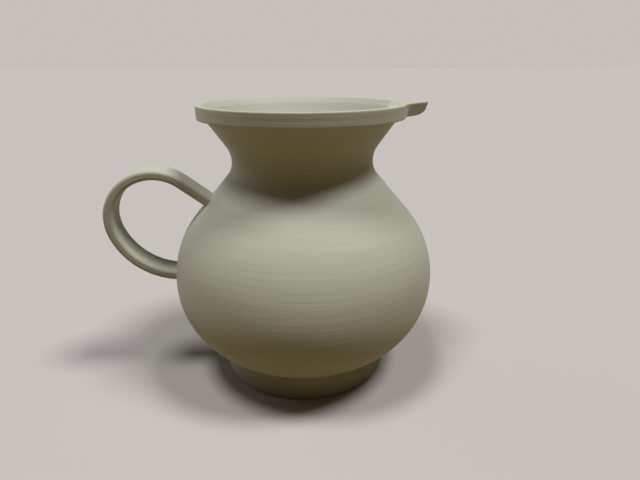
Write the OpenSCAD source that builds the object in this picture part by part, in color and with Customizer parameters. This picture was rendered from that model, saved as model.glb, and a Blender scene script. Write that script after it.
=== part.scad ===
// Milk jug: round belly on a flat foot, drawn-in neck, flat flanged rim with a
// pointed pouring lip, and a flat strap handle. Millimetres, +Z up.
// The origin is the middle of the underside of the foot.
// The handle stands towards -X and the pouring lip points towards +X.

/* [Foot] */
// Outer diameter of the foot
foot_d = 62.2; // [56:0.2:68]
// Height of the foot, up to the flat underside of the belly
foot_h = 9.5; // [8:0.1:12]
// Chamfer around the bottom edge of the foot
foot_chamfer = 0.6; // [0.2:0.1:1.5]
// Ledge that the foot leaves clear around the underside of the belly
foot_ledge = 0.2; // [0.1:0.1:2]

/* [Belly] */
// Outer diameter of the belly at its widest line
belly_d = 96; // [88:0.5:104]
// Radius of the belly's curve above the widest line
belly_up_r = 36; // [30:0.5:38]
// Thickness of the wall of the belly and neck
wall_t = 2.4; // [1.6:0.1:3.2]
// Thickness of the floor inside the belly
floor_t = 2.6; // [1.6:0.1:5]

/* [Neck] */
// Height of the neck's narrowest line above the belly's widest line
shoulder_h = 43; // [40:0.5:50]
// Drop of the flat seam between belly and neck below the foot of the neck's inner curve
seam_drop = 1.5; // [0.5:0.1:3]
// Outer diameter of the neck at its narrowest line
waist_d = 50.4; // [47:0.2:54]
// Height of the rim's top above the narrowest line
flare_h = 19.5; // [17:0.5:25]
// Radius of the neck's curve below the narrowest line
waist_low_r = 8.4; // [6.5:0.1:9.5]
// Radius of the neck's curve above the narrowest line
waist_up_r = 10; // [7:0.5:12]
// Outer diameter of the flared neck where it meets the rim
neck_top_d = 66.8; // [63:0.2:69]

/* [Rim] */
// Height of the jug over the rim
jug_h = 100; // [92:0.5:112]
// Thickness of the rim's flange
rim_t = 4.65; // [3.5:0.05:5.5]
// Outer diameter of the rim's flange
rim_d = 72.2; // [70:0.2:76]
// Diameter of the mouth's upright land, at which the bore is widest below the bevel
mouth_d = 64.4; // [62.4:0.2:66]
// Height of the upright land
mouth_land_h = 0.3; // [0.2:0.1:1]
// Width of the bevel that opens the mouth from the land up to the top of the rim
mouth_bevel_w = 2; // [0.5:0.1:2.6]
// Chamfer around the flange's outer edges
rim_chamfer = 0.4; // [0.2:0.1:1]

/* [Pouring lip] */
// Angle from the lip's middle to each seam with the rim
lip_seam_angle = 24; // [22:0.5:30]
// Width of the pointed lip where it leaves the rim
lip_w = 24; // [20:0.5:26]
// Reach of the lip past the rim
lip_reach = 9.8; // [7:0.2:12]
// Width of the blunt tip
lip_tip_w = 1.4; // [0.8:0.1:3]
// Thickness of the lip at its tip
lip_tip_t = 2.2; // [1.4:0.1:3]
// Reach of the lip's flat underside past the rim, before it curves up to the tip
lip_flat = 4.6; // [2:0.1:6]
// Lean of the lip's sides, inwards towards the underside
lip_lean = 20; // [5:1:30]
// Width of the pouring channel where it leaves the mouth
channel_w = 16; // [12:0.5:18]
// Depth of the pouring channel where it leaves the mouth
channel_depth = 2.2; // [1:0.1:3]
// Lean of the channel's sides away from upright
channel_lean = 50; // [20:1:60]
// Length of the tip in front of the channel's end
channel_stop = 1.4; // [0.8:0.1:3]

/* [Handle] */
// Width of the strap
strap_w = 10.8; // [8:0.2:14]
// Thickness of the strap
strap_t = 3.4; // [2.6:0.1:4]
// Radius of the strap's rounded edges
strap_edge = 1.1; // [0.4:0.1:1.2]
// Distance from the belly's widest line to the handle's outer face
handle_out = 22.2; // [20:0.2:26]
// Height of the strap's lower root above the belly's widest line
handle_low_rise = 2.2; // [0:0.2:4]
// Radius of the upper bow along the strap's middle
bow_up_r = 15.7; // [14.5:0.1:17]
// Radius of the lower bow along the strap's middle
bow_low_r = 24.5; // [23:0.5:27]
// Angle around the bow at which the upper bow passes into the lower one
bow_join = 198; // [190:1:215]
// Slope of the straight run from the upper bow down to the shoulder
top_run_slope = 38; // [33:1:43]
// Gap of the bond between the strap's roots and the belly
bond_gap = 0.05; // [0.02:0.01:0.2]

/* [Hidden] */
$fn = 96;
// Largest angle between two points of a curved outline
arc_step = 3;
// Largest share of the strap's thickness that one rounded edge takes up
edge_share = 0.45;
// Length of the strap's top run inside its bow, and how much smaller it is there on each side
run_lap = 0.3;
run_inset = 0.01;
SAGE = [0.76, 0.76, 0.69];

foot_r = foot_d / 2;
floor_z = foot_h + floor_t;
belly_r = belly_d / 2;
waist_z = jug_h - flare_h;
belly_z = waist_z - shoulder_h;
// The belly's lower curve springs from the foot's ledge and stands upright at the widest line.
belly_low_h = belly_z - foot_h;
belly_overhang = belly_r - foot_r + foot_ledge;
belly_low_r = (belly_overhang ^ 2 + belly_low_h ^ 2) / (2 * belly_overhang);
belly_low_c = [belly_r - belly_low_r, belly_z];
belly_up_c = [belly_r - belly_up_r, belly_z];
waist_r = waist_d / 2;
waist_low_c = [waist_r + waist_low_r, waist_z];
waist_up_c = [waist_r + waist_up_r, waist_z];
rim_r = rim_d / 2;
rim_z = jug_h - rim_t;
mouth_r = mouth_d / 2;
neck_top = [neck_top_d / 2, rim_z];
// Overshoot of a cutting shape past the solid that it cuts
over = 1;
// Length of a cutting block, longer than the jug
block = 2 * (belly_d + jug_h);

// A point on an arc, from its centre, radius and angle
function on_arc(c, r, a) = c + r * [cos(a), sin(a)];

// The points along an arc from the angle a0 to a1
function arc(c, r, a0, a1) =
    let (steps = ceil(abs(a1 - a0) / arc_step))
    [for (i = [0 : steps]) on_arc(c, r, a0 + (a1 - a0) * i / steps)];

function reverse(points) = [for (i = [len(points) - 1 : -1 : 0]) points[i]];

// The shoulder is the straight line that touches the belly's upper curve and the neck's lower
// curve, and shoulder_a is the direction square to it.
shoulder_v = waist_low_c - belly_up_c;
shoulder_a = atan2(shoulder_v[1], shoulder_v[0]) - acos((belly_up_r + waist_low_r) / norm(shoulder_v));
shoulder_top = on_arc(waist_low_c, -waist_low_r - wall_t, shoulder_a);
seam_z = shoulder_top[1] - seam_drop;
function seam(inset) =
    let (foot = on_arc(belly_up_c, belly_up_r - inset, shoulder_a))
    [foot[0] - (seam_z - foot[1]) * tan(shoulder_a), seam_z];

// The flare is the straight line from the neck's upper curve to the rim, and flare_a is the
// direction square to it.
flare_v = neck_top - waist_up_c;
flare_a = atan2(flare_v[1], flare_v[0]) + acos(waist_up_r / norm(flare_v));
function flare_r(inset) =
    let (foot = on_arc(waist_up_c, waist_up_r + inset, flare_a))
    foot[0] - (rim_z - foot[1]) * tan(flare_a);

// Radius of the flared bore at the underside of the rim, and the height at which the bore has
// opened to the mouth's diameter
bore_r = flare_r(wall_t);
mouth_land_z = rim_z - (mouth_r - bore_r) / tan(flare_a);
mouth_bevel_z = mouth_land_z + mouth_land_h;
mouth_top_r = mouth_r + mouth_bevel_w;

// Outline of the belly from the height z0 up to the shoulder, moved inwards by inset
function belly_curve(inset, z0) = concat(
    arc(belly_low_c, belly_low_r - inset, asin((z0 - belly_z) / (belly_low_r - inset)), 0),
    arc(belly_up_c, belly_up_r - inset, arc_step, shoulder_a)
);

// Outline of the neck from the shoulder up to the rim, moved inwards by inset
function neck_curve(inset) = concat(
    arc(waist_low_c, waist_low_r + inset, 180 + shoulder_a, 180),
    arc(waist_up_c, waist_up_r + inset, 180 - arc_step, flare_a),
    [[flare_r(inset), rim_z]]
);

// Flange of the rim before the mouth is opened, chamfered around its outer edges
module rim_block() {
    rotate_extrude()
        polygon([
            [0, rim_z],
            [rim_r - rim_chamfer, rim_z],
            [rim_r, rim_z + rim_chamfer],
            [rim_r, jug_h - rim_chamfer],
            [rim_r - rim_chamfer, jug_h],
            [0, jug_h]
        ]);
}

// Opening through the rim: flared on from the neck, upright at the land, then bevelled to the top
module mouth() {
    rotate_extrude()
        polygon([
            [0, rim_z - over],
            [bore_r, rim_z - over],
            [bore_r, rim_z],
            [mouth_r, mouth_land_z],
            [mouth_r, mouth_bevel_z],
            [mouth_top_r, jug_h],
            [mouth_top_r, jug_h + over],
            [0, jug_h + over]
        ]);
}

// Wedge between the two seams of the pouring lip, at the rim's level
module lip_wedge(margin) {
    side = block * [cos(lip_seam_angle), sin(lip_seam_angle)];
    translate([0, 0, rim_z - margin])
        linear_extrude(rim_t + 2 * margin)
            polygon([[0, 0], [side[0], -side[1]], [block, 0], side]);
}

// Half space inside an upright side of the lip or its channel. The side runs from point p
// back to the rim at the angle a from the jug's middle plane, and leans inwards.
module inside_of(p, a, lean) {
    translate([p[0], p[1], jug_h])
        rotate([0, 0, 180 - a])
            rotate([lean, 0, 0])
                translate([-block, 0, -block]) cube([2 * block, block, 2 * block]);
}

module both_sides(p, a, lean) {
    intersection() {
        inside_of(p, a, lean);
        mirror([0, 1, 0]) inside_of(p, a, lean);
    }
}

// Solid beak: pointed in plan, with leaning sides and an underside that curves up to the tip
module lip_beak() {
    tip_x = rim_r + lip_reach;
    root = [sqrt(rim_r * rim_r - lip_w * lip_w / 4), lip_w / 2];
    side_a = atan2(root[1] - lip_tip_w / 2, tip_x - root[0]);
    flat_x = rim_r + lip_flat;
    curve_h = rim_t - lip_tip_t;
    curve_r = ((tip_x - flat_x) ^ 2 + curve_h ^ 2) / (2 * curve_h);
    intersection() {
        both_sides([tip_x, lip_tip_w / 2], side_a, lip_lean);
        rotate([90, 0, 0])
            linear_extrude(2 * lip_w, center = true) {
                translate([0, rim_z]) square([flat_x, rim_t]);
                intersection() {
                    translate([flat_x, rim_z + curve_r]) circle(curve_r);
                    translate([flat_x, rim_z - over]) square([tip_x - flat_x, rim_t + over]);
                }
            }
        lip_wedge(0);
    }
}

// Pouring channel: leaning sides that close towards the tip, and a floor that rises to it
module lip_channel() {
    end_x = rim_r + lip_reach - channel_stop;
    start_x = sqrt(mouth_r * mouth_r - channel_w * channel_w / 4);
    side_a = atan2(channel_w / 2, end_x - start_x);
    floor_a = atan2(channel_depth, end_x - start_x);
    intersection() {
        both_sides([end_x, 0], side_a, channel_lean);
        translate([end_x, 0, jug_h])
            rotate([0, -floor_a, 0])
                translate([-block, -block, 0]) cube([2 * block, 2 * block, block]);
        translate([0, -block, 0]) cube([block, 2 * block, jug_h + over]);
    }
}

// Section of the strap, its thickness along x and its width along y, made smaller all round by
// inset. A flat part always stays between the rounded edges.
module strap_section(inset) {
    edge = min(strap_edge, strap_t * edge_share) - inset;
    flat_t = strap_t - 2 * (inset + edge);
    flat_w = strap_w - 2 * (inset + edge);
    square([flat_t + 2 * edge, flat_w], center = true);
    square([flat_t, flat_w + 2 * edge], center = true);
    for (x = [-flat_t / 2, flat_t / 2], y = [-flat_w / 2, flat_w / 2]) translate([x, y]) circle(edge);
}

// A bow of the strap from the angle a0 to a1
module strap_bow(r, a0, a1) {
    rotate_extrude(angle = a1 - a0, start = a0) translate([r, 0]) strap_section(0);
}

// Moves a shape in a coarse and a fine step, because the STEP files keep six digits of a step
module move_exactly(way) {
    coarse = [for (x = way) round(x * 1000) / 1000];
    translate(coarse) translate(way - coarse) children();
}

// The strap seen from the side. It runs from inside the shoulder, round both bows and on into
// the belly. The top run is let into its bow, and so it is a hair smaller.
module strap() {
    bow_start = 90 - top_run_slope;
    bow_end = 270;
    shift = (bow_up_r - bow_low_r) * [cos(bow_join), sin(bow_join)];
    up_x = -(belly_r + handle_out - strap_t / 2 - bow_up_r);
    low_x = up_x + shift[0];
    translate([low_x, belly_z + handle_low_rise + bow_low_r]) {
        move_exactly(-shift) {
            strap_bow(bow_up_r, bow_start, bow_join);
            rotate(bow_start)
                translate([bow_up_r, run_lap])
                    rotate([90, 0, 0]) linear_extrude(run_lap - up_x - waist_r) strap_section(run_inset);
        }
        strap_bow(bow_low_r, bow_join, bow_end);
        rotate(bow_end)
            translate([bow_low_r, 0]) rotate([-90, 0, 0]) linear_extrude(-low_x - waist_r) strap_section(0);
    }
}

module foot() {
    color(SAGE) {
        cylinder(h = foot_chamfer, r1 = foot_r - foot_chamfer, r2 = foot_r);
        translate([0, 0, foot_chamfer]) cylinder(h = foot_h - foot_chamfer, r = foot_r);
    }
}

module belly() {
    outside = concat([[0, foot_h]], belly_curve(0, foot_h), [seam(0)]);
    inside = concat([[0, floor_z]], belly_curve(wall_t, floor_z), [seam(wall_t)]);
    color(SAGE) rotate_extrude() polygon(concat(outside, reverse(inside)));
}

module neck() {
    outside = concat([seam(0)], neck_curve(0));
    inside = concat([seam(wall_t)], neck_curve(wall_t));
    color(SAGE) rotate_extrude() polygon(concat(outside, reverse(inside)));
}

module rim() {
    color(SAGE) difference() {
        rim_block();
        mouth();
        lip_wedge(over);
    }
}

module pouring_lip() {
    color(SAGE) difference() {
        union() {
            intersection() {
                rim_block();
                lip_wedge(over);
            }
            lip_beak();
        }
        mouth();
        lip_channel();
    }
}

module handle() {
    bonded = concat([[0, foot_h]], belly_curve(-bond_gap, foot_h), neck_curve(-bond_gap), [[0, rim_z]]);
    color(SAGE) difference() {
        rotate([90, 0, 0]) strap();
        rotate_extrude() polygon(bonded);
    }
}

foot();
belly();
neck();
rim();
pouring_lip();
handle();
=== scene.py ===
"""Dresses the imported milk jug: a matt plastic jug laid in fine level layers, with softened edges.

Every piece is made in metres in the frame's own place, and stands for one solid of the frame.
"""

import math

import bmesh
import bpy
from mathutils import Matrix, Vector


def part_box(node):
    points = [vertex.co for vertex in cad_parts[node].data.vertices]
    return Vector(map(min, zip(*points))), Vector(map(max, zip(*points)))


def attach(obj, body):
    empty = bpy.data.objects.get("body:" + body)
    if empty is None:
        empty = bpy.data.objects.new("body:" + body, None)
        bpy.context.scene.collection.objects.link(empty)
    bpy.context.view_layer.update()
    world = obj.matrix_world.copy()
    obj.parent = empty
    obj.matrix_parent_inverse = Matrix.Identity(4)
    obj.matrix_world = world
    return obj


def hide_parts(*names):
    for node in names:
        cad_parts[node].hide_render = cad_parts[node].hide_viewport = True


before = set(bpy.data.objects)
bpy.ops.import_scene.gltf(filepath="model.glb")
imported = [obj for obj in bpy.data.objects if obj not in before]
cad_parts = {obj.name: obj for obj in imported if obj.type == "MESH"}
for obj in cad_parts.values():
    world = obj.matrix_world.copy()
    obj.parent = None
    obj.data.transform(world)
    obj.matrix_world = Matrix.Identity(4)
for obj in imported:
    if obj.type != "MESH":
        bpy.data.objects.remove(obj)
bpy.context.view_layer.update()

# Sizes that the frame gives, in metres
FOOT_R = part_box("foot")[1].x
FOOT_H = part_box("foot")[1].z
BELLY_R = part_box("belly")[1].y
SEAM_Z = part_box("belly")[1].z
RIM_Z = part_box("rim")[0].z
RIM_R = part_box("rim")[1].y
JUG_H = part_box("rim")[1].z
LIP_TIP_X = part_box("pouring_lip")[1].x
HANDLE_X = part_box("handle")[0].x
STRAP_W = 2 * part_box("handle")[1].y

# Body: the wall's curves, as in the solids
WALL_T = 0.0024
FLOOR_T = 0.0026
FOOT_LEDGE = 0.0002
FOOT_EDGE = 0.0006
BELLY_UP_R = 0.036
SHOULDER_H = 0.043
FLARE_H = 0.0195
WAIST_R = 0.0252
WAIST_LOW_R = 0.0084
WAIST_UP_R = 0.010
NECK_TOP_R = 0.0334

# Rim and pouring lip
MOUTH_R = 0.0322
MOUTH_LAND_H = 0.0003
MOUTH_BEVEL_W = 0.002
MOUTH_EDGE = 0.0005
RIM_EDGE = 0.0005
LIP_SEAM_ANGLE = math.radians(24)
LIP_ROOT_W = 0.024
LIP_TIP_W = 0.0014
LIP_TIP_T = 0.0022
LIP_FLAT = 0.0046
LIP_LEAN = math.radians(20)
LIP_SOFTNESS = 0.0004
LIP_EDGE = 0.001
CHANNEL_W = 0.016
CHANNEL_DEPTH = 0.0022
CHANNEL_LEAN = math.radians(50)
CHANNEL_STOP = 0.0014

# Handle
STRAP_T = 0.0034
STRAP_EDGE = 0.0011
BOW_UP_R = 0.0157
BOW_LOW_R = 0.0245
BOW_JOIN = math.radians(198)
TOP_RUN_SLOPE = math.radians(38)
LOW_ROOT_RISE = 0.0022
ROOT_DEPTH = 0.0011

# Layers of the plastic: the seam between belly and neck lies in the groove between two layers
LAYERS_TO_SEAM = 180
LAYER_H = SEAM_Z / LAYERS_TO_SEAM
RINGS_PER_LAYER = 3
RIDGE_DEPTH = 0.000008
STREAK_DEPTH = 0.000036
STREAK_RISE = 0.0011
STREAK_RUN = 0.030
STREAK_SPAN = (0.25, 0.75)
STREAK_DETAIL = 2.0
STREAK_ROUGHNESS = 0.55

# Finish of the plastic: its two tones, the tracks on its level faces, and its grain
PLASTIC_DARK = (0.508, 0.51, 0.404)
PLASTIC_LIGHT = (0.552, 0.554, 0.44)
TONE_SPAN = (0.3, 0.7)
TONE_DETAIL = 3.0
TRACK_W = 0.00045
TRACK_SHARE = 0.2
GRAIN_SIZE = 0.0004
GRAIN_DETAIL = 2.0
GRAIN_IN_TONE = 0.2
GRAIN_IN_BUMP = 0.4
BUMP_STRENGTH = 0.25
BUMP_DEPTH = 0.00003
ROUGHNESS_SPAN = (0.56, 0.68)
GLOSS = 0.5

# How upright or level a face has to be for the ridges, the streaks and the tracks to show on it
RIDGE_FADE = (0.0, 0.35)
UPRIGHT_FADE = (0.6, 0.95)
LEVEL_FADE = (0.93, 0.99)

# Camera that took the photograph, with the jug turned so that its handle comes forward
PHOTO_W = 640
FOCAL_PX = 482
SENSOR_W = 36
CAMERA_PLACE = Vector((0.00079, -0.1733, 0.1124))
CAMERA_PITCH = math.radians(20)
CAMERA_YAW = math.radians(1.78)
CAMERA_ROLL = math.radians(-0.23)
JUG_TURN = math.radians(6)

# Curves of the wall that follow from the sizes above
WAIST_Z = JUG_H - FLARE_H
BELLY_Z = WAIST_Z - SHOULDER_H
OVERHANG = BELLY_R - FOOT_R + FOOT_LEDGE
BELLY_LOW_R = (OVERHANG**2 + (BELLY_Z - FOOT_H) ** 2) / (2 * OVERHANG)
SHOULDER = Vector((WAIST_R + WAIST_LOW_R - BELLY_R + BELLY_UP_R, SHOULDER_H))
SHOULDER_A = math.atan2(SHOULDER.y, SHOULDER.x) - math.acos((BELLY_UP_R + WAIST_LOW_R) / SHOULDER.length)
FLARE = Vector((NECK_TOP_R - WAIST_R - WAIST_UP_R, RIM_Z - WAIST_Z))
FLARE_A = math.atan2(FLARE.y, FLARE.x) + math.acos(WAIST_UP_R / FLARE.length)


def half_chord(radius, rise):
    """How far a circle lies from its upright middle line, at a height above or below its centre."""
    return math.sqrt(radius**2 - rise**2)


def wall_radius(z, inset=0.0):
    """Radius of the wall at a height: of its outside, or of a surface inset from it."""
    shoulder_foot = BELLY_Z + (BELLY_UP_R - inset) * math.sin(SHOULDER_A)
    shoulder_top = WAIST_Z - (WAIST_LOW_R + inset) * math.sin(SHOULDER_A)
    flare_foot = WAIST_Z + (WAIST_UP_R + inset) * math.sin(FLARE_A)
    if z < BELLY_Z:
        return BELLY_R - BELLY_LOW_R + half_chord(BELLY_LOW_R - inset, BELLY_Z - z)
    if z < shoulder_foot:
        return BELLY_R - BELLY_UP_R + half_chord(BELLY_UP_R - inset, z - BELLY_Z)
    if z < shoulder_top:
        start = BELLY_R - BELLY_UP_R + (BELLY_UP_R - inset) * math.cos(SHOULDER_A)
        return start - (z - shoulder_foot) * math.tan(SHOULDER_A)
    if z < WAIST_Z:
        return WAIST_R + WAIST_LOW_R - half_chord(WAIST_LOW_R + inset, WAIST_Z - z)
    if z < flare_foot:
        return WAIST_R + WAIST_UP_R - half_chord(WAIST_UP_R + inset, z - WAIST_Z)
    start = WAIST_R + WAIST_UP_R + (WAIST_UP_R + inset) * math.cos(FLARE_A)
    return start - (z - flare_foot) * math.tan(FLARE_A)


# Share of a step within which a height counts as an end
NEAR_END = 0.01


def levels(z0, z1, step):
    """Heights from z0 up to z1: both ends, and every whole multiple of step clear of them."""
    first = math.floor(z0 / step + NEAR_END) + 1
    last = math.ceil(z1 / step - NEAR_END)
    return [z0] + [k * step for k in range(first, last)] + [z1]


def spread(a, b, count):
    """Values from a to b in equal steps, without b."""
    return [a + (b - a) * i / count for i in range(count)]


# Node trees

# Places of the colours on a Mix node, which also has sockets for numbers and vectors
MIX_FROM = 6
MIX_TO = 7
MIX_RESULT = 2


class Tree:
    """Short words for adding nodes to a tree and linking them."""

    def __init__(self, tree):
        self.tree = tree

    def add(self, kind, inputs=None, **settings):
        """A new node with its settings, and with values or links on its inputs."""
        node = self.tree.nodes.new(kind)
        for name, value in settings.items():
            setattr(node, name, value)
        for key, value in (inputs or {}).items():
            self.feed(node.inputs[key], value)
        return node

    def feed(self, socket, value):
        """Puts a link or a plain value on an input."""
        if isinstance(value, bpy.types.NodeSocket):
            self.tree.links.new(value, socket)
        else:
            socket.default_value = value

    def math(self, operation, *values, clamp=False):
        """One sum, product or other step of arithmetic on numbers."""
        node = self.add("ShaderNodeMath", operation=operation, use_clamp=clamp)
        for socket, value in zip(node.inputs, values):
            self.feed(socket, value)
        return node.outputs[0]

    def vector(self, operation, *values):
        """One step of arithmetic on vectors, or the length of one."""
        node = self.add("ShaderNodeVectorMath", operation=operation)
        for socket, value in zip(node.inputs, values):
            self.feed(socket, value)
        return node.outputs[1 if operation == "LENGTH" else 0]

    def ramp(self, value, low, high, to_low=0.0, to_high=1.0):
        """A number that runs from to_low to to_high while value runs from low to high."""
        node = self.add("ShaderNodeMapRange")
        for socket, number in zip(node.inputs, (value, low, high, to_low, to_high)):
            self.feed(socket, number)
        return node.outputs[0]

    def blend(self, share, colour, other):
        """A colour that runs from one to the other as share runs from 0 to 1."""
        given = {0: share, MIX_FROM: (*colour, 1), MIX_TO: (*other, 1)}
        return self.add("ShaderNodeMix", given, data_type="RGBA").outputs[MIX_RESULT]

    def xyz(self, vector):
        """The three parts of a vector."""
        return self.add("ShaderNodeSeparateXYZ", {0: vector}).outputs

    def bead(self, height, pitch):
        """Rounded rise of one layer's bead, 0 in the groove between two layers and 1 on its crest."""
        across = self.math("FRACT", self.math("DIVIDE", height, pitch))
        side = self.math("SUBTRACT", self.math("MULTIPLY", across, 2.0), 1.0)
        return self.math("SQRT", self.math("SUBTRACT", 1.0, self.math("MULTIPLY", side, side), clamp=True))

    def streaks(self, place, run, rise, detail):
        """Long level streaks, as layers leave that lie a little out of line with each other."""
        level = self.math("DIVIDE", 1.0, run)
        up = self.math("DIVIDE", 1.0, rise)
        scale = self.add("ShaderNodeCombineXYZ", {0: level, 1: level, 2: up}).outputs[0]
        noise = self.add("ShaderNodeTexNoise", {"Scale": 1.0, "Detail": detail})
        self.feed(noise.inputs["Roughness"], STREAK_ROUGHNESS)
        self.feed(noise.inputs["Vector"], self.vector("MULTIPLY", place, scale))
        return noise.outputs[0]


def new_group(name, kind, sockets):
    """A node group with named sockets: (in or out, name, type, default)."""
    group = bpy.data.node_groups.new(name, kind)
    for way, label, socket_type, default in sockets:
        socket = group.interface.new_socket(label, in_out=way, socket_type="NodeSocket" + socket_type)
        if default is not None:
            socket.default_value = default
    tree = Tree(group)
    return group, tree, tree.add("NodeGroupInput").outputs, tree.add("NodeGroupOutput").inputs


LAYER_SOCKETS = [
    ("INPUT", "Layer Height", "Float", LAYER_H),
    ("INPUT", "Ridge Depth", "Float", RIDGE_DEPTH),
    ("INPUT", "Streak Depth", "Float", STREAK_DEPTH),
    ("INPUT", "Streak Rise", "Float", STREAK_RISE),
    ("INPUT", "Streak Run", "Float", STREAK_RUN),
]


def layer_offset_group():
    """How far each point of a wall lies inside the true surface, from its layer and its streaks."""
    sockets = [("INPUT", "Place", "Vector", None)] + LAYER_SOCKETS + [("OUTPUT", "Offset", "Float", None)]
    group, tree, given, result = new_group("layer_offset", "GeometryNodeTree", sockets)
    bead = tree.bead(tree.xyz(given["Place"])[2], given["Layer Height"])
    ridge = tree.math("MULTIPLY", tree.math("SUBTRACT", bead, 1.0), given["Ridge Depth"])
    noise = tree.streaks(given["Place"], given["Streak Run"], given["Streak Rise"], STREAK_DETAIL)
    depth = tree.ramp(noise, *STREAK_SPAN, 0.0, -1.0)
    streak = tree.math("MULTIPLY", depth, given["Streak Depth"])
    tree.feed(result["Offset"], tree.math("ADD", ridge, streak))
    return group


def place_layer_group(tree, group, place, given):
    """Puts the layer group in a tree, with that tree's own sizes, and gives its offset."""
    node = tree.add("GeometryNodeGroup", node_tree=group)
    tree.feed(node.inputs["Place"], place)
    for _, label, _, _ in LAYER_SOCKETS:
        tree.feed(node.inputs[label], given[label])
    return node.outputs["Offset"]


def finish_tree(tree, mesh, given, result):
    """Ends a tree with smooth shading, real geometry and its material."""
    smooth = tree.add("GeometryNodeSetShadeSmooth", {"Geometry": mesh})
    real = tree.add("GeometryNodeRealizeInstances", {"Geometry": smooth.outputs[0]})
    painted = tree.add("GeometryNodeSetMaterial", {"Geometry": real.outputs[0]})
    tree.feed(painted.inputs["Material"], given["Material"])
    tree.feed(result["Geometry"], painted.outputs[0])


SEGMENTS = 144
MERGE_DISTANCE = 1e-6


def turned_tree(layer_group):
    """Turns a profile line about the upright axis, with the ridges of its layers on the outer side."""
    sockets = [
        ("INPUT", "Geometry", "Geometry", None),
        ("INPUT", "Segments", "Int", SEGMENTS),
        *LAYER_SOCKETS,
        ("INPUT", "Material", "Material", None),
        ("OUTPUT", "Geometry", "Geometry", None),
    ]
    group, tree, given, result = new_group("turned_in_layers", "GeometryNodeTree", sockets)
    size = tree.add("GeometryNodeAttributeDomainSize", {"Geometry": given["Geometry"]}, component="MESH")
    rings = size.outputs["Point Count"]
    grid = tree.add("GeometryNodeMeshGrid", {"Vertices Y": rings})
    tree.feed(grid.inputs["Vertices X"], tree.math("ADD", given["Segments"], 1.0))
    index = tree.add("GeometryNodeInputIndex").outputs[0]
    column = tree.math("FLOOR", tree.math("DIVIDE", tree.math("ADD", index, 0.5), rings))
    ring = tree.math("SUBTRACT", index, tree.math("MULTIPLY", column, rings))
    here = tree.add("GeometryNodeInputPosition").outputs[0]

    def profile_point(step):
        sample = tree.add("GeometryNodeSampleIndex", data_type="FLOAT_VECTOR", domain="POINT", clamp=True)
        tree.feed(sample.inputs["Geometry"], given["Geometry"])
        tree.feed(sample.inputs["Value"], here)
        tree.feed(sample.inputs["Index"], tree.math("ADD", ring, step))
        return sample.outputs[0]

    point = profile_point(0.0)
    chord = tree.vector("SUBTRACT", profile_point(1.0), profile_point(-1.0))
    along = tree.xyz(tree.vector("NORMALIZE", chord))
    inward = tree.math("MULTIPLY", along[0], -1.0)
    outward = tree.add("ShaderNodeCombineXYZ", {0: along[2], 2: inward}).outputs[0]
    turn = tree.math("MULTIPLY", tree.math("DIVIDE", column, given["Segments"]), math.tau)

    def turned(vector):
        node = tree.add("ShaderNodeVectorRotate", {"Vector": vector, "Angle": turn}, rotation_type="Z_AXIS")
        return node.outputs[0]

    offset = place_layer_group(tree, layer_group, turned(point), given)
    faces_out = tree.ramp(along[2], *RIDGE_FADE)
    moved = tree.vector("SCALE", outward)
    tree.feed(moved.node.inputs["Scale"], tree.math("MULTIPLY", offset, faces_out))
    placed = tree.add("GeometryNodeSetPosition", {"Geometry": grid.outputs["Mesh"]})
    tree.feed(placed.inputs["Position"], turned(tree.vector("ADD", point, moved)))
    merged = tree.add("GeometryNodeMergeByDistance", {"Geometry": placed.outputs[0]})
    tree.feed(merged.inputs["Distance"], MERGE_DISTANCE)
    finish_tree(tree, merged.outputs[0], given, result)
    return group


def ridged_tree(layer_group):
    """Sinks a finished mesh along its normals by the streaks of its layers, on its upright sides."""
    sockets = [
        ("INPUT", "Geometry", "Geometry", None),
        *LAYER_SOCKETS,
        ("INPUT", "Material", "Material", None),
        ("OUTPUT", "Geometry", "Geometry", None),
    ]
    group, tree, given, result = new_group("ridged_in_layers", "GeometryNodeTree", sockets)
    place = tree.add("GeometryNodeInputPosition").outputs[0]
    normal = tree.add("GeometryNodeInputNormal").outputs[0]
    offset = place_layer_group(tree, layer_group, place, given)
    upright = tree.ramp(tree.math("ABSOLUTE", tree.xyz(normal)[2]), *UPRIGHT_FADE, 1.0, 0.0)
    sunk = tree.vector("SCALE", normal)
    tree.feed(sunk.node.inputs["Scale"], tree.math("MULTIPLY", offset, upright))
    placed = tree.add("GeometryNodeSetPosition", {"Geometry": given["Geometry"], "Offset": sunk})
    finish_tree(tree, placed.outputs[0], given, result)
    return group


# Material


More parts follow.
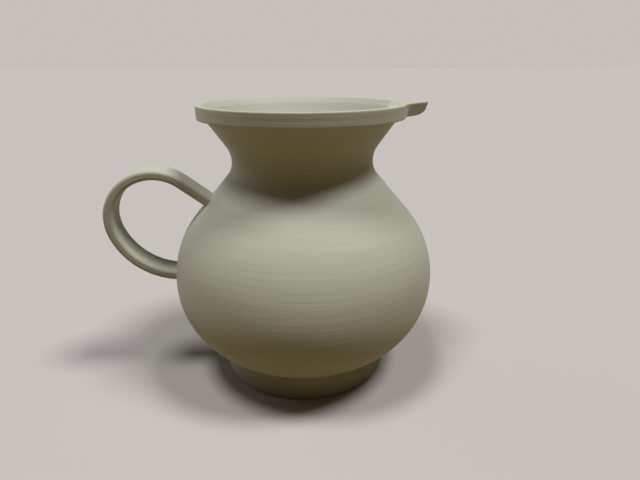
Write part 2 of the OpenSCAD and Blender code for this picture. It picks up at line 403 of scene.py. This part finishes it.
def layer_lines_group():
    """Tone, roughness and fine lines of plastic laid in layers: level on walls, rings on flat faces."""
    sockets = [
        ("INPUT", "Layer Height", "Float", LAYER_H),
        ("INPUT", "Track Width", "Float", TRACK_W),
        ("INPUT", "Track Depth", "Float", TRACK_SHARE),
        ("INPUT", "Streak Rise", "Float", STREAK_RISE),
        ("INPUT", "Streak Run", "Float", STREAK_RUN),
        ("INPUT", "Grain Size", "Float", GRAIN_SIZE),
        ("OUTPUT", "Streak", "Float", None),
        ("OUTPUT", "Line", "Float", None),
        ("OUTPUT", "Grain", "Float", None),
    ]
    group, tree, given, result = new_group("layer_lines", "ShaderNodeTree", sockets)
    place = tree.add("ShaderNodeTexCoord").outputs["Object"]
    across, deep, height = tree.xyz(place)
    flat_place = tree.add("ShaderNodeCombineXYZ", {0: across, 1: deep}).outputs[0]
    on_wall = tree.bead(height, given["Layer Height"])
    track = tree.bead(tree.vector("LENGTH", flat_place), given["Track Width"])
    on_flat = tree.math("MULTIPLY", track, given["Track Depth"])
    normal = tree.add("ShaderNodeNewGeometry").outputs["Normal"]
    level = tree.math("ABSOLUTE", tree.xyz(normal)[2])
    tree.feed(result["Line"], tree.ramp(level, *LEVEL_FADE, on_wall, on_flat))
    streak = tree.streaks(place, given["Streak Run"], given["Streak Rise"], TONE_DETAIL)
    tree.feed(result["Streak"], streak)
    fine = tree.math("DIVIDE", 1.0, given["Grain Size"])
    grain = tree.add("ShaderNodeTexNoise", {"Vector": place, "Scale": fine, "Detail": GRAIN_DETAIL})
    tree.feed(result["Grain"], grain.outputs[0])
    return group


def sage_plastic():
    """Matt grey-green plastic, a little lighter and darker from streak to streak."""
    material = bpy.data.materials.new("sage_plastic")
    material.use_nodes = True
    tree = Tree(material.node_tree)
    shader = material.node_tree.nodes["Principled BSDF"]
    lines = tree.add("ShaderNodeGroup", node_tree=layer_lines_group()).outputs
    streak_tone = tree.math("MULTIPLY", lines["Streak"], 1 - GRAIN_IN_TONE)
    grain_tone = tree.math("MULTIPLY", lines["Grain"], GRAIN_IN_TONE)
    tone = tree.ramp(tree.math("ADD", streak_tone, grain_tone), *TONE_SPAN)
    tree.feed(shader.inputs["Base Color"], tree.blend(tone, PLASTIC_DARK, PLASTIC_LIGHT))
    roughness = tree.ramp(lines["Grain"], *TONE_SPAN, *ROUGHNESS_SPAN)
    tree.feed(shader.inputs["Roughness"], roughness)
    height = tree.math("ADD", lines["Line"], tree.math("MULTIPLY", lines["Grain"], GRAIN_IN_BUMP))
    bump = tree.add("ShaderNodeBump", {"Strength": BUMP_STRENGTH, "Distance": BUMP_DEPTH})
    tree.feed(bump.inputs["Height"], height)
    tree.feed(shader.inputs["Normal"], bump.outputs[0])
    tree.feed(shader.inputs["Specular IOR Level"], GLOSS)
    return material


def seen_directly(tree):
    """1 for what the camera sees, straight or in a gloss, and 0 for the light that lands on the jug."""
    rays = tree.add("ShaderNodeLightPath").outputs
    straight = tree.math("ADD", rays["Is Camera Ray"], rays["Is Glossy Ray"])
    return tree.math("ADD", straight, rays["Is Transmission Ray"], clamp=True)


def pale_floor():
    """Plain pale floor for the eye, which throws a faint warm light back up at the jug."""
    material = bpy.data.materials.new("pale_floor")
    material.use_nodes = True
    tree = Tree(material.node_tree)
    shader = material.node_tree.nodes["Principled BSDF"]
    colour = tree.blend(seen_directly(tree), BOUNCE_COLOUR, FLOOR_COLOUR)
    tree.feed(shader.inputs["Base Color"], colour)
    tree.feed(shader.inputs["Roughness"], 1.0)
    tree.feed(shader.inputs["Specular IOR Level"], 0.0)
    return material


# Meshes


SHARP_ANGLE = math.radians(50)


def object_of(name, data):
    """A new object in the scene, for a mesh, a lamp or the camera."""
    made = bpy.data.objects.new(name, data)
    bpy.context.collection.objects.link(made)
    return made


def grown(name, mesh, tree, material, **values):
    """Runs a node tree on a mesh and keeps the result as a plain piece of that name."""
    raw = object_of(name + "_raw", mesh)
    modifier = raw.modifiers.new("layers", "NODES")
    modifier.node_group = tree
    named = {"Material": material, **{key.replace("_", " ").title(): value for key, value in values.items()}}
    for item in tree.interface.items_tree:
        if item.in_out == "INPUT" and item.name in named:
            modifier[item.identifier] = named[item.name]
    raw.update_tag()
    shown = raw.evaluated_get(bpy.context.evaluated_depsgraph_get())
    made = bpy.data.meshes.new_from_object(shown)
    raw.modifiers.remove(modifier)
    bpy.data.objects.remove(raw)
    made.set_sharp_from_angle(angle=SHARP_ANGLE)
    made.name = name
    return object_of(name, made)


def line_mesh(name, points):
    """A line through (radius, height) points, in the plane that a turned piece starts from."""
    mesh = bpy.data.meshes.new(name)
    mesh.from_pydata([(r, 0, z) for r, z in points], [(i, i + 1) for i in range(len(points) - 1)], [])
    return mesh


def loop_mesh(name, loops):
    """A closed solid through equal loops of points, with a cap on the first and the last one."""
    count = len(loops[0])
    shape = bmesh.new()
    rows = [[shape.verts.new(point) for point in loop] for loop in loops]
    for low, high in zip(rows, rows[1:]):
        for i in range(count):
            j = (i + 1) % count
            shape.faces.new((low[i], low[j], high[j], high[i]))
    for row in (rows[0], rows[-1]):
        middle = shape.verts.new(sum((v.co for v in row), Vector()) / count)
        for i in range(count):
            shape.faces.new((row[i], row[(i + 1) % count], middle))
    bmesh.ops.recalc_face_normals(shape, faces=shape.faces)
    mesh = bpy.data.meshes.new(name)
    shape.to_mesh(mesh)
    shape.free()
    return mesh


def soft_corner(before, corner, after, size, count=5):
    """Points round a corner, starting and ending at most size away from it."""
    corner = Vector(corner)
    start = Vector(before) - corner
    end = Vector(after) - corner
    start = start.normalized() * min(size, start.length / 2)
    end = end.normalized() * min(size, end.length / 2)
    return [corner + (1 - t) ** 2 * start + t**2 * end for t in (i / count for i in range(count + 1))]


def flat_rings(r0, r1, z, count=8):
    """Points across a level face, from one radius towards another and without the last."""
    return [(r0 + (r1 - r0) * i / count, z) for i in range(count)]


RING_STEP = LAYER_H / RINGS_PER_LAYER
INNER_STEP = 0.0012
FLOOR_Z = FOOT_H + FLOOR_T


def foot_profile():
    """Line round half of the disc, from the middle of its underside to the middle of its top."""
    edge = soft_corner((0, 0), (FOOT_R, 0), (FOOT_R, FOOT_H), FOOT_EDGE)
    side = [(FOOT_R, z) for z in levels(edge[-1].y, FOOT_H, RING_STEP)[1:]]
    bottom = flat_rings(0, edge[0].x, 0) + [tuple(point) for point in edge]
    return bottom + side + flat_rings(FOOT_R, 0, FOOT_H)[1:] + [(0, FOOT_H)]


def belly_profile():
    """Line round half of the shell, from the middle of its underside to the middle of its floor."""
    outside = [(wall_radius(z), z) for z in levels(FOOT_H, SEAM_Z, RING_STEP)]
    inside = [(wall_radius(z, WALL_T), z) for z in reversed(levels(FLOOR_Z, SEAM_Z, INNER_STEP))]
    floor = flat_rings(wall_radius(FLOOR_Z, WALL_T), 0, FLOOR_Z)[1:] + [(0, FLOOR_Z)]
    return flat_rings(0, wall_radius(FOOT_H), FOOT_H) + outside + inside + floor


def neck_profile():
    """Closed line round the wall, which starts and ends in the middle of the level seam face."""
    outside = [(wall_radius(z), z) for z in levels(SEAM_Z, RIM_Z, RING_STEP)]
    inside = [(wall_radius(z, WALL_T), z) for z in reversed(levels(SEAM_Z, RIM_Z, INNER_STEP / 2))]
    seam_middle = ((outside[0][0] + inside[-1][0]) / 2, SEAM_Z)
    return [seam_middle] + outside + inside + [seam_middle]


# Rim and pouring lip share one section, which reaches out where the lip is


LIP_ROOT = Vector((half_chord(RIM_R, LIP_ROOT_W / 2), LIP_ROOT_W / 2))
LIP_SIDE_A = math.atan2(LIP_ROOT.y - LIP_TIP_W / 2, LIP_TIP_X - LIP_ROOT.x)
LIP_FLAT_X = RIM_R + LIP_FLAT
UNDER_RISE = JUG_H - RIM_Z - LIP_TIP_T
UNDER_R = ((LIP_TIP_X - LIP_FLAT_X) ** 2 + UNDER_RISE**2) / (2 * UNDER_RISE)
CHANNEL_END_X = LIP_TIP_X - CHANNEL_STOP
CHANNEL_START_X = half_chord(MOUTH_R, CHANNEL_W / 2)
CHANNEL_SIDE_A = math.atan2(CHANNEL_W / 2, CHANNEL_END_X - CHANNEL_START_X)
CHANNEL_FALL = CHANNEL_DEPTH / (CHANNEL_END_X - CHANNEL_START_X)
BORE_R = wall_radius(RIM_Z, WALL_T)
LAND_Z = RIM_Z - (MOUTH_R - BORE_R) / math.tan(FLARE_A)
# The short upright land is rounded away here, so the bevel springs from its middle
BEVEL_Z = LAND_Z + MOUTH_LAND_H / 2
BEVEL_SLOPE = (JUG_H - BEVEL_Z) / MOUTH_BEVEL_W


def soft_max(a, b, softness):
    """The larger of two lengths, with the step between them rounded off."""
    return (a + b + math.sqrt((a - b) ** 2 + softness**2)) / 2


def soft_min(a, b, softness):
    """The smaller of two lengths, with the step between them rounded off."""
    return -soft_max(-a, -b, softness)


def lip_reach(angle, z):
    """Distance from the axis to the lip's outside in a direction, at a height."""
    lean = (JUG_H - z) * math.tan(LIP_LEAN)
    edge = LIP_TIP_X * math.sin(LIP_SIDE_A) + LIP_TIP_W / 2 * math.cos(LIP_SIDE_A) - lean
    to_side = edge / math.sin(LIP_SIDE_A + abs(angle))
    to_tip = LIP_TIP_X / math.cos(angle)
    return soft_min(to_side, to_tip, LIP_SOFTNESS)


def outer_radius(angle, z):
    """Distance from the axis to the outside of the rim or the lip, whichever is further out."""
    if abs(angle) >= LIP_SEAM_ANGLE:
        return RIM_R
    return max(RIM_R, soft_max(lip_reach(angle, z), RIM_R, LIP_SOFTNESS) - LIP_SOFTNESS / 4)


def underside_z(x):
    """Height of the underside, which curves up towards the lip's tip."""
    if x <= LIP_FLAT_X:
        return RIM_Z
    return RIM_Z + UNDER_R - half_chord(UNDER_R, min(x, LIP_TIP_X) - LIP_FLAT_X)


def top_z(radius, angle):
    """Height of the top, lowered by the mouth's bevel and where the pouring channel is."""
    rim_top = soft_min(JUG_H, BEVEL_Z + (radius - MOUTH_R) * BEVEL_SLOPE, LIP_SOFTNESS / 2)
    if abs(angle) >= LIP_SEAM_ANGLE:
        return rim_top
    x = radius * math.cos(angle)
    y = radius * math.sin(abs(angle))
    floor = JUG_H - CHANNEL_FALL * (CHANNEL_END_X - x)
    inside = (CHANNEL_END_X - x) * math.sin(CHANNEL_SIDE_A) - y * math.cos(CHANNEL_SIDE_A)
    side = JUG_H - inside / math.tan(CHANNEL_LEAN)
    return soft_min(rim_top, soft_max(floor, side, LIP_SOFTNESS / 2), LIP_SOFTNESS / 2)


# Rounds that settle where the lip's leaning side meets its curved underside
UNDER_ROUNDS = 12

# Points along the underside, the outer side, the top and the bore of a section
UNDER_POINTS = 12
SIDE_POINTS = 28
TOP_POINTS = 30
BORE_POINTS = 10


def rim_section(angle):
    """Loop of (radius, height) points round the rim in one direction from the axis."""
    under_r = outer_radius(angle, RIM_Z)
    for _ in range(UNDER_ROUNDS):
        under_r = outer_radius(angle, underside_z(under_r * math.cos(angle)))
    under = Vector((under_r, underside_z(under_r * math.cos(angle))))
    top = Vector((outer_radius(angle, JUG_H), JUG_H))
    mouth = Vector((MOUTH_R, top_z(MOUTH_R, angle)))
    low = soft_corner((BORE_R, under.y), under, top, RIM_EDGE)
    share = (top.x - RIM_R) / (LIP_TIP_X - RIM_R)
    high = soft_corner(under, top, (MOUTH_R, JUG_H), RIM_EDGE + (LIP_EDGE - RIM_EDGE) * share)
    above = MOUTH_R + MOUTH_BEVEL_W / 2
    inner = soft_corner((above, top_z(above, angle)), mouth, (BORE_R, RIM_Z), MOUTH_EDGE)
    points = [Vector((r, underside_z(r * math.cos(angle)))) for r in spread(BORE_R, low[0].x, UNDER_POINTS)]
    points += low + [low[-1].lerp(high[0], t) for t in spread(0, 1, SIDE_POINTS)[1:]] + high
    for r in spread(high[-1].x, inner[0].x, TOP_POINTS)[1:]:
        points.append(Vector((r, top_z(r, angle))))
    points += inner
    points += [inner[-1].lerp(Vector((BORE_R, RIM_Z)), t) for t in spread(0, 1, BORE_POINTS)[1:]]
    return points


def rim_loops(angles):
    """Sections of the rim and lip, set round the axis in these directions."""
    loops = []
    for angle in angles:
        section = rim_section((angle + math.pi) % math.tau - math.pi)
        loops.append([(p.x * math.cos(angle), p.x * math.sin(angle), p.y) for p in section])
    return loops


RIM_COLUMNS = 300
LIP_COLUMNS = 60
LIP_CROWDING = 1.5


def rim_mesh():
    """The flange, all round from one side of the lip to the other."""
    steps = spread(LIP_SEAM_ANGLE, math.tau - LIP_SEAM_ANGLE, RIM_COLUMNS)
    return loop_mesh("rim_loops", rim_loops(steps + [math.tau - LIP_SEAM_ANGLE]))


def lip_mesh():
    """The beak, with its sections closest together at the tip."""
    half = [LIP_SEAM_ANGLE * (i / LIP_COLUMNS) ** LIP_CROWDING for i in range(LIP_COLUMNS + 1)]
    return loop_mesh("lip_loops", rim_loops([-a for a in reversed(half[1:])] + half))


# Handle


STRAP_STEP = 0.0002
EDGE_POINTS = 8
FACE_POINTS = 30
SIDE_FACE_POINTS = 8


def strap_path():
    """Points and outward directions along the middle of the strap, from the shoulder to the belly."""
    up_x = HANDLE_X + STRAP_T / 2 + BOW_UP_R
    shift = (BOW_UP_R - BOW_LOW_R) * Vector((math.cos(BOW_JOIN), math.sin(BOW_JOIN)))
    low_middle = Vector((up_x + shift.x, BELLY_Z + LOW_ROOT_RISE + BOW_LOW_R))
    up_middle = low_middle - shift
    start = math.pi / 2 - TOP_RUN_SLOPE
    path = []

    def bow(middle, radius, a0, a1):
        for a in spread(a0, a1, round((a1 - a0) * radius / STRAP_STEP)):
            outward = Vector((math.cos(a), math.sin(a)))
            path.append((middle + radius * outward, outward))

    outward = Vector((math.cos(start), math.sin(start)))
    along = Vector((outward.y, -outward.x))
    bow_start = up_middle + BOW_UP_R * outward
    for reach in spread(-up_x - WAIST_R, 0, round((-up_x - WAIST_R) / STRAP_STEP)):
        path.append((bow_start + reach * along, outward))
    bow(up_middle, BOW_UP_R, start, BOW_JOIN)
    bow(low_middle, BOW_LOW_R, BOW_JOIN, 1.5 * math.pi)
    return [(p, out) for p, out in path if -p.x > wall_radius(p.y) - ROOT_DEPTH]


def strap_section():
    """Points round the strap: (outward, across), a flat bar with well rounded edges."""
    half_t = STRAP_T / 2 - STRAP_EDGE
    half_w = STRAP_W / 2 - STRAP_EDGE
    counts = (SIDE_FACE_POINTS, FACE_POINTS, SIDE_FACE_POINTS, FACE_POINTS)
    corners = ((half_t, half_w), (-half_t, half_w), (-half_t, -half_w), (half_t, -half_w))
    rounds = []
    for quarter, (t, w) in enumerate(corners):
        turns = [(quarter + i / EDGE_POINTS) * math.pi / 2 for i in range(EDGE_POINTS + 1)]
        rounds.append([Vector((t + STRAP_EDGE * math.cos(a), w + STRAP_EDGE * math.sin(a))) for a in turns])
    points = []
    for quarter, arc in enumerate(rounds):
        following = rounds[(quarter + 1) % 4][0]
        points += arc + [arc[-1].lerp(following, t) for t in spread(0, 1, counts[quarter])[1:]]
    return points


def handle_mesh():
    """The strap's section carried along its path."""
    section = strap_section()
    loops = []
    for place, outward in strap_path():
        loops.append([(place.x + p.x * outward.x, p.y, place.y + p.x * outward.y) for p in section])
    return loop_mesh("strap_loops", loops)


# Stage, light and camera


FLOOR_COLOUR = (0.56, 0.525, 0.505)
BOUNCE_COLOUR = (0.18, 0.114, 0.022)
FLOOR_SIZE = 40.0


def studio():
    """A plain pale floor that runs back to the horizon."""
    half = FLOOR_SIZE / 2
    mesh = bpy.data.meshes.new("studio_floor")
    corners = [(-half, -half, 0), (half, -half, 0), (half, half, 0), (-half, half, 0)]
    mesh.from_pydata(corners, [], [(0, 1, 2, 3)])
    mesh.materials.append(pale_floor())
    object_of("studio_floor", mesh)


# Each lamp: how far it leans to the right and towards the camera and how far it spreads, in degrees,
# and its share of the full light
LAMPS = {
    "left_light": (-14, 8, 16, 0.48),
    "right_light": (25, 8, 16, 0.59),
    "side_light": (-78, -70, 45, 0.15),
}
# Strength of a lamp that shows a white face turned to it as full white
FULL_LIGHT = math.pi
SKY_STRENGTH = 0.008


def lights():
    """Two soft lamps high above the jug, and a faint broad one low behind it on the left."""
    turn = Matrix.Rotation(-JUG_TURN, 3, "Z")
    for name, (right, front, width, share) in LAMPS.items():
        data = bpy.data.lights.new(name, "SUN")
        data.energy = FULL_LIGHT * share
        data.angle = math.radians(width)
        lamp = object_of(name, data)
        towards = turn @ Vector((math.tan(math.radians(right)), -math.tan(math.radians(front)), 1))
        lamp.location = towards
        lamp.rotation_euler = towards.to_track_quat("Z", "Y").to_euler()


def backdrop():
    """A pale backdrop for the eye, and a faint even light from all round for the jug."""
    world = bpy.data.worlds.new("studio_world")
    world.use_nodes = True
    bpy.context.scene.world = world
    tree = Tree(world.node_tree)
    faint = world.node_tree.nodes["Background"]
    tree.feed(faint.inputs["Color"], (1, 1, 1, 1))
    tree.feed(faint.inputs["Strength"], SKY_STRENGTH)
    seen = tree.add("ShaderNodeBackground", {"Color": (*FLOOR_COLOUR, 1), "Strength": 1.0})
    mixed = tree.add("ShaderNodeMixShader", {0: seen_directly(tree)})
    tree.feed(mixed.inputs[1], faint.outputs[0])
    tree.feed(mixed.inputs[2], seen.outputs[0])
    tree.feed(world.node_tree.nodes["World Output"].inputs["Surface"], mixed.outputs[0])


def camera():
    """The photograph's camera, turned about the jug as far as the jug itself is turned in it."""
    data = bpy.data.cameras.new("photo_camera")
    data.sensor_fit = "HORIZONTAL"
    data.sensor_width = SENSOR_W
    data.lens = FOCAL_PX * SENSOR_W / PHOTO_W
    view = object_of("photo_camera", data)
    turn = Matrix.Rotation(-JUG_TURN, 4, "Z")
    look = Matrix.Rotation(-CAMERA_YAW, 4, "Z") @ Matrix.Rotation(math.pi / 2 - CAMERA_PITCH, 4, "X")
    roll = Matrix.Rotation(CAMERA_ROLL, 4, "Z")
    view.matrix_world = turn @ Matrix.Translation(CAMERA_PLACE) @ look @ roll
    bpy.context.scene.camera = view


# Pieces


def dress(piece, node):
    """Ties a finished piece to the body that it rides on, and hides the solid that it stands for."""
    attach(piece, "root")
    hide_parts(node)


def jug():
    """All the pieces, each in its place."""
    plastic = sage_plastic()
    layer_group = layer_offset_group()
    turned = turned_tree(layer_group)
    ridged = ridged_tree(layer_group)
    dress(grown("foot_disc", line_mesh("foot_line", foot_profile()), turned, plastic), "foot")
    dress(grown("belly_shell", line_mesh("belly_line", belly_profile()), turned, plastic), "belly")
    dress(grown("neck_collar", line_mesh("neck_line", neck_profile()), turned, plastic), "neck")
    dress(grown("rim_flange", rim_mesh(), ridged, plastic), "rim")
    dress(grown("lip_beak", lip_mesh(), ridged, plastic), "pouring_lip")
    dress(grown("handle_strap", handle_mesh(), ridged, plastic, ridge_depth=0.0), "handle")


jug()
studio()
lights()
backdrop()
camera()
bpy.context.scene.view_settings.view_transform = "Standard"
